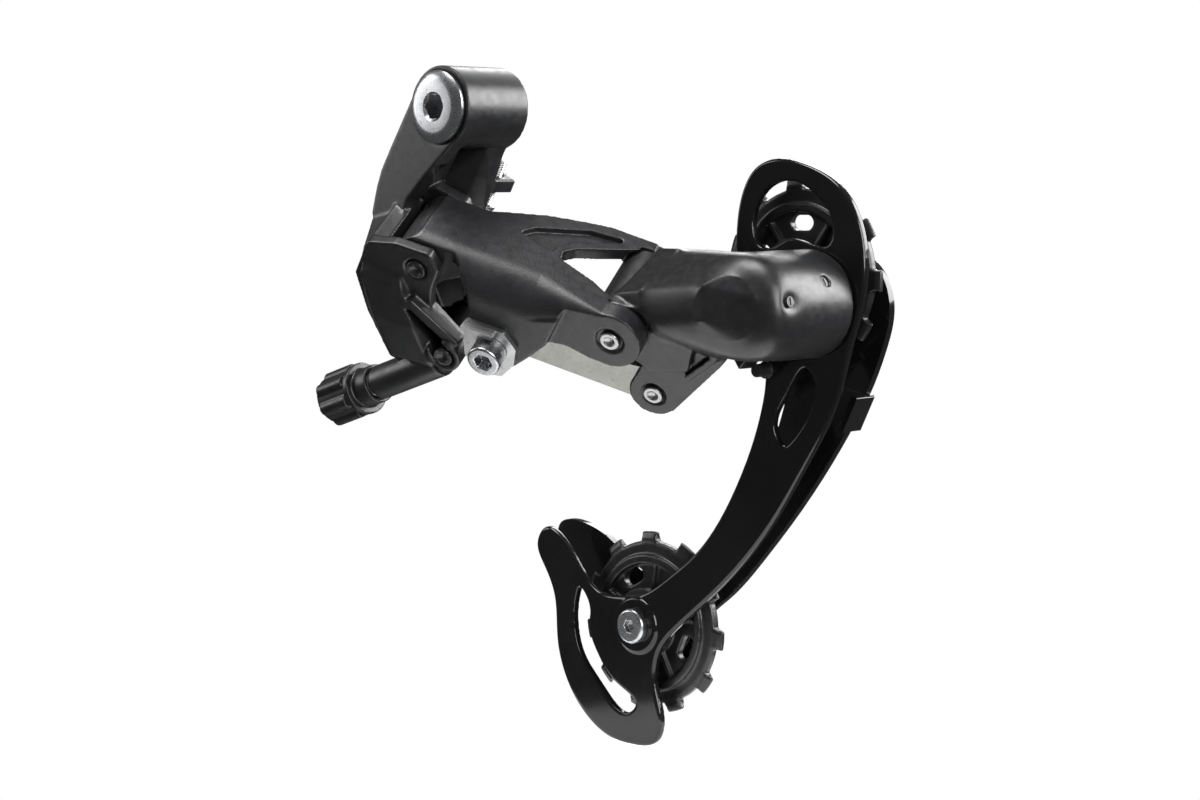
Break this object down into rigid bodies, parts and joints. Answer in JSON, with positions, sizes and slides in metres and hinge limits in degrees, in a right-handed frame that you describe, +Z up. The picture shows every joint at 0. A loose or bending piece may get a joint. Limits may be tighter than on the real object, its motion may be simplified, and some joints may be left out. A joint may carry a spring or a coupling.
{
  "type": "rear bicycle derailleur",
  "caption": "Long-cage rear derailleur with a slanted linkage, hanging knuckle, sprung chain cage, toothed pulleys and a cable stop.",
  "frame": {"origin": "on the hanger bolt's axis, in the knuckle face that meets the frame's hanger", "axes": "+X forward along the bicycle, +Y inboard towards the wheel and along the hanger bolt, +Z up"},
  "size_m": [0.1338, 0.0837, 0.1697],
  "materials": {
    "composite": "satin glass-filled nylon",
    "link_composite": "satin grained nylon",
    "plated_bolt": "bright zinc plate",
    "clamp_steel": "satin plate",
    "link_steel": "nickel plate",
    "pin_steel": "turned",
    "black_pin": "black oxide",
    "screw_steel": "plated",
    "spring_steel": "oiled",
    "bush_plastic": "self-lubricating",
    "seal_rubber": "matt",
    "cage_paint": "gloss black",
    "pulley_plastic": "moulded",
    "shield_steel": "black zinc",
    "knob_plastic": "moulded"
  },
  "bodies": {
    "b_knuckle": {"b_knuckle": "composite", "hanger_bolt_bush": "bush_plastic", "pin_upper_outer": "black_pin", "pin_upper_inner": "black_pin", "adjuster_spring": "spring_steel"},
    "hanger_bolt": {"hanger_bolt": "plated_bolt", "hanger_bolt_clip": "spring_steel"},
    "b_tension_screw": {"b_tension_screw": "screw_steel"},
    "limit_screw_low": {"limit_screw_low": "screw_steel"},
    "limit_screw_high": {"limit_screw_high": "screw_steel"},
    "outer_link": {"outer_link": "link_composite", "cable_clamp_plate": "clamp_steel", "pin_lower_outer": "pin_steel"},
    "cable_anchor_bolt": {"cable_anchor_bolt": "plated_bolt"},
    "inner_link": {"inner_link": "link_steel", "return_spring": "spring_steel"},
    "p_knuckle": {"p_knuckle": "composite", "knuckle_plugs": "black_pin", "axle_bush": "bush_plastic", "pin_lower_inner": "pin_steel"},
    "cage": {"outer_cage_plate": "cage_paint", "inner_cage_plate": "cage_paint", "cage_axle": "screw_steel", "cage_spring": "spring_steel", "axle_seal": "seal_rubber", "cage_stop_pin": "black_pin", "guide_pulley_sleeve": "screw_steel", "tension_pulley_sleeve": "screw_steel", "guide_pulley_shields": "shield_steel", "tension_pulley_shields": "shield_steel"},
    "guide_pulley": {"guide_pulley": "pulley_plastic"},
    "tension_pulley": {"tension_pulley": "pulley_plastic"},
    "guide_pulley_bolt": {"guide_pulley_bolt": "plated_bolt"},
    "tension_pulley_bolt": {"tension_pulley_bolt": "plated_bolt"},
    "barrel_adjuster": {"adjuster_knob": "knob_plastic", "adjuster_core": "screw_steel"}
  },
  "joints": [
    {"name": "parallelogram_swing", "type": "hinge", "parent": "b_knuckle", "child": "outer_link", "pos_m": [-0.0027, -0.0255, -0.0382], "axis": [-0.2349, 0.7926, 0.5627], "range_deg": [-60, 0]},
    {"name": "inner_link_swing", "type": "hinge", "parent": "b_knuckle", "child": "inner_link", "pos_m": [-0.00478, -0.01266, -0.05715], "axis": [-0.2349, 0.7926, 0.5627], "range_deg": [-60, 0], "deforming": ["return_spring"]},
    {"name": "p_knuckle_swing", "type": "hinge", "parent": "outer_link", "child": "p_knuckle", "pos_m": [0.03774, -0.00201, -0.05441], "axis": [-0.2349, 0.7926, 0.5627], "range_deg": [0, 60]},
    {"name": "cage_pivot", "type": "hinge", "parent": "p_knuckle", "child": "cage", "pos_m": [0.068, 0.03, -0.046], "axis": [0, 1, 0], "range_deg": [-90, 0], "stiffness_Nm_per_rad": 0.25, "springref_deg": 68.75, "deforming": ["cage_spring"]},
    {"name": "guide_pulley_spin", "type": "hinge", "parent": "cage", "child": "guide_pulley", "pos_m": [0.0602, 0.042, -0.0398], "axis": [0, 1, 0], "continuous": true},
    {"name": "tension_pulley_spin", "type": "hinge", "parent": "cage", "child": "tension_pulley", "pos_m": [0.0126, 0.042, -0.129], "axis": [0, 1, 0], "continuous": true},
    {"name": "guide_bolt_turn", "type": "hinge", "parent": "cage", "child": "guide_pulley_bolt", "pos_m": [0.0602, 0.042, -0.0398], "axis": [0, 1, 0], "continuous": true},
    {"name": "tension_bolt_turn", "type": "hinge", "parent": "cage", "child": "tension_pulley_bolt", "pos_m": [0.0126, 0.042, -0.129], "axis": [0, -1, 0], "continuous": true},
    {"name": "hanger_bolt_turn", "type": "hinge", "parent": "b_knuckle", "child": "hanger_bolt", "pos_m": [0, -0.01, 0], "axis": [0, 1, 0], "continuous": true},
    {"name": "b_tension_turn", "type": "hinge", "parent": "b_knuckle", "child": "b_tension_screw", "pos_m": [-0.005, 0.00285, -0.017], "axis": [0.5, 0, 0.866], "continuous": true},
    {"name": "limit_low_turn", "type": "hinge", "parent": "b_knuckle", "child": "limit_screw_low", "pos_m": [-0.01231, -0.01726, -0.03427], "axis": [-0.9501, -0.0649, -0.3052], "continuous": true},
    {"name": "limit_high_turn", "type": "hinge", "parent": "b_knuckle", "child": "limit_screw_high", "pos_m": [-0.01405, -0.0114, -0.0301], "axis": [-0.9501, -0.0649, -0.3052], "continuous": true},
    {"name": "anchor_bolt_turn", "type": "hinge", "parent": "outer_link", "child": "cable_anchor_bolt", "pos_m": [0.0084, -0.00996, -0.05546], "axis": [-0.2349, 0.7926, 0.5627], "continuous": true},
    {"name": "adjuster_turn", "type": "hinge", "parent": "b_knuckle", "child": "barrel_adjuster", "pos_m": [-0.0166, -0.011, -0.0625], "axis": [-0.9532, 0, -0.3024], "continuous": true}
  ],
  "couplings": [
    {"joint": "inner_link_swing", "follows": "parallelogram_swing", "ratio": 1},
    {"joint": "p_knuckle_swing", "follows": "parallelogram_swing", "ratio": -1}
  ]
}
